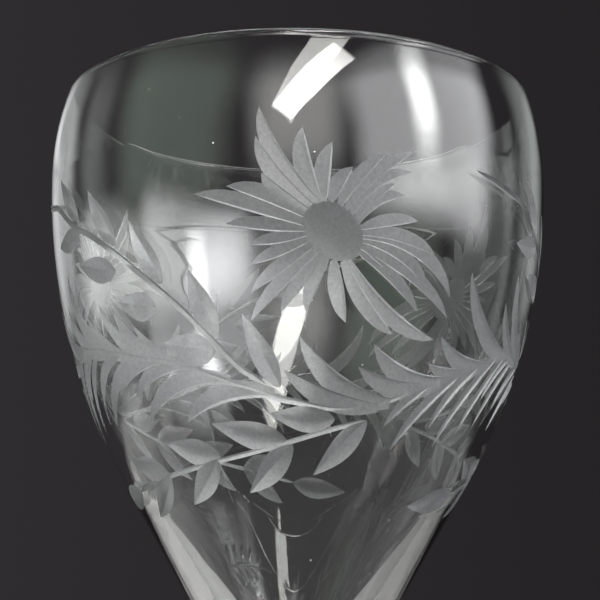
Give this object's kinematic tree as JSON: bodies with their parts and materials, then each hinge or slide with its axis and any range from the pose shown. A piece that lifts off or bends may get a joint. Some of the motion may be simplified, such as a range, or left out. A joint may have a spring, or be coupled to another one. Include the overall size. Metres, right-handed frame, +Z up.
{
  "type": "wine glass",
  "caption": "Stemmed wine glass with a tall funnel-tulip bowl, a slim plain stem and a round foot; the bowl carries a wheel-cut frieze of flowers and leaves.",
  "frame": {"origin": "centre of the foot's resting ring, on the table", "axes": "+Z up along the stem's axis, towards the rim"},
  "size_m": [0.0748, 0.0748, 0.19],
  "materials": {
    "crystal": "clear polished crystal, with wheel-cut matt decoration on the bowl"
  },
  "bodies": {
    "root": {"bowl": "crystal", "stem": "crystal", "foot": "crystal"}
  },
  "joints": []
}
